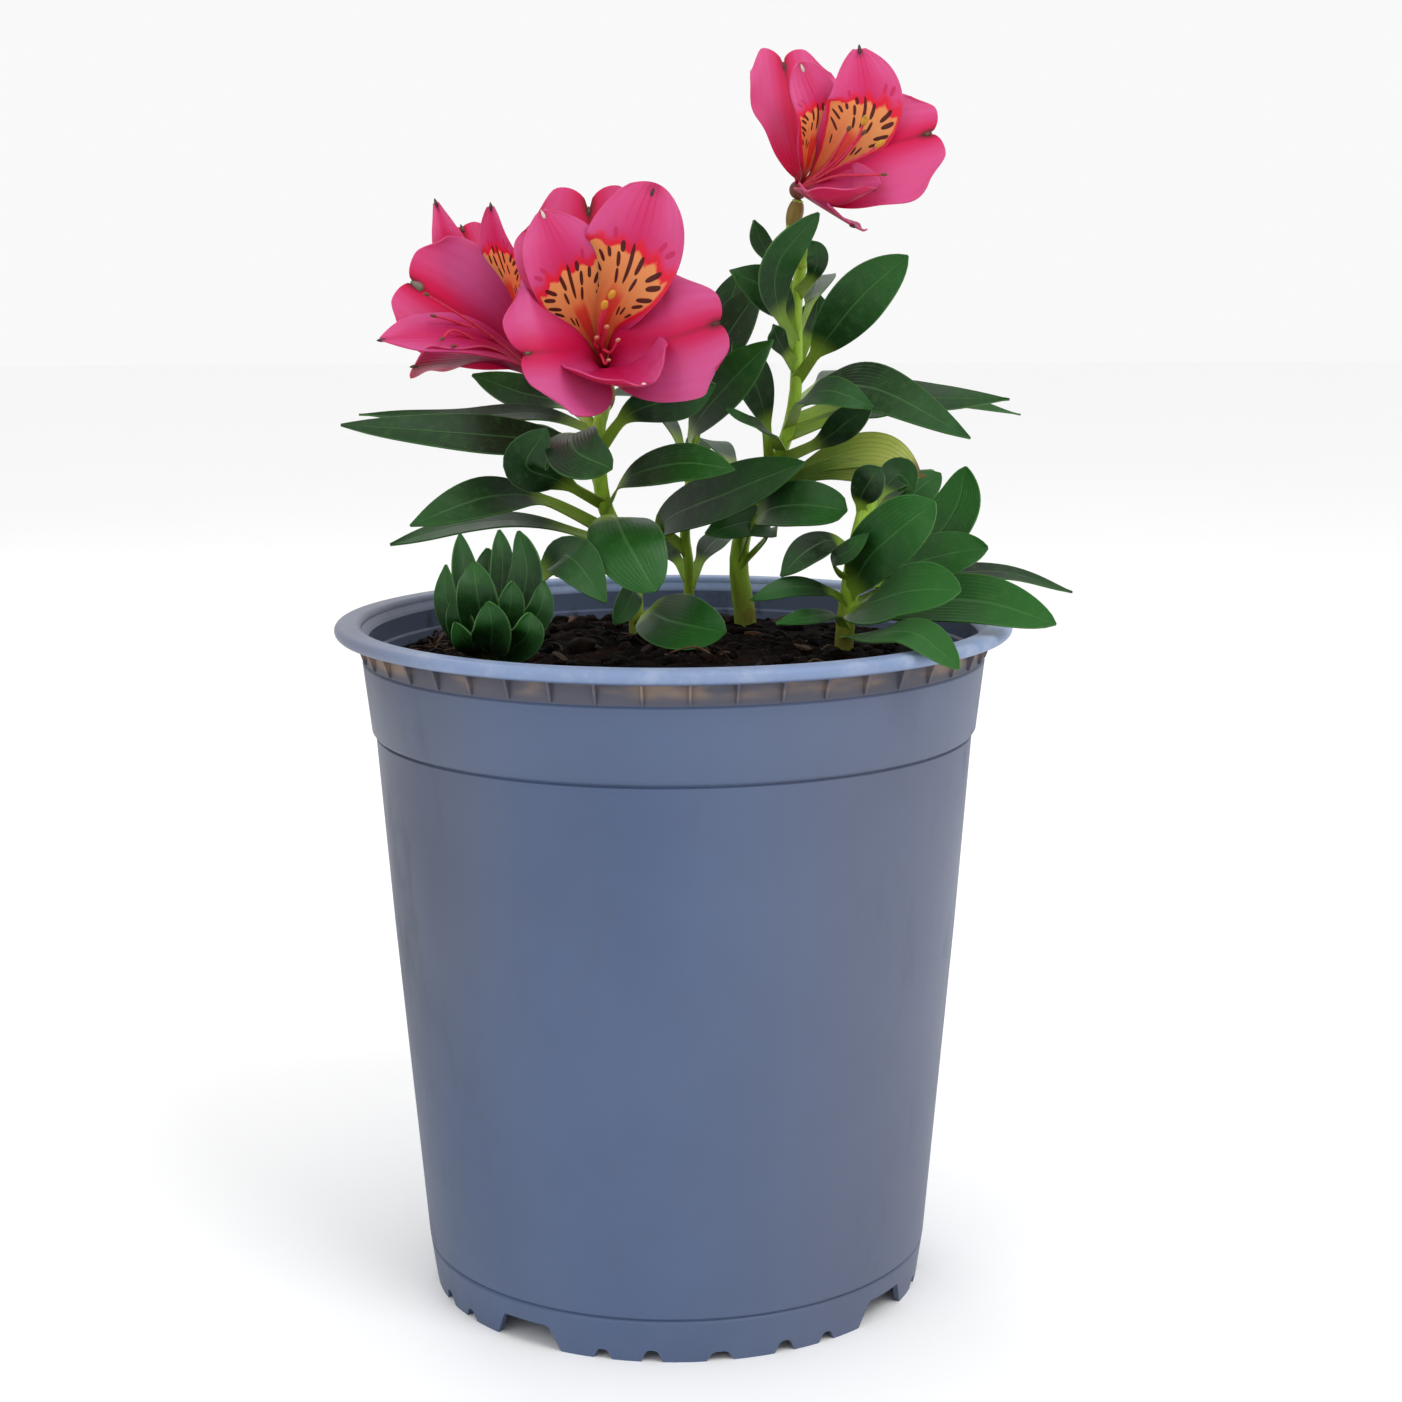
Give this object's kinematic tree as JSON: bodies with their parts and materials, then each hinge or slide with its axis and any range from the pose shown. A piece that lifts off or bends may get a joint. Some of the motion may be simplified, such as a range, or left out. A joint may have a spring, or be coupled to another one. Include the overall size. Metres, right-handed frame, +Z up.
{
  "type": "potted peruvian lily",
  "caption": "Flowering peruvian lily with pink blooms and broad green leaves, growing in a tapered plastic nursery container.",
  "frame": {"origin": "on the floor under the middle of the pot's base", "axes": "+Z up, the front of the plant faces -Y, +X to the right as seen from the front"},
  "size_m": [0.2102, 0.19, 0.3485],
  "materials": {
    "pot": "satin slate-blue recycled plastic, a little dusty under the lip",
    "soil": "damp dark compost with bark and fibre",
    "foliage": "satin green leaf with fine parallel veins, yellow-green stems",
    "faded_foliage": "fading yellow leaf",
    "petals": "soft pink petal with orange throat patches and dark dashes"
  },
  "bodies": {
    "root": {"pot": "pot", "soil": "soil", "shoot_a": "foliage", "shoot_b": "foliage", "shoot_c": "foliage", "shoot_d": "foliage", "shoot_e": "foliage", "leaf_fading": "faded_foliage", "bloom_centre": "petals", "bloom_left": "petals", "bloom_right": "petals"}
  },
  "joints": []
}
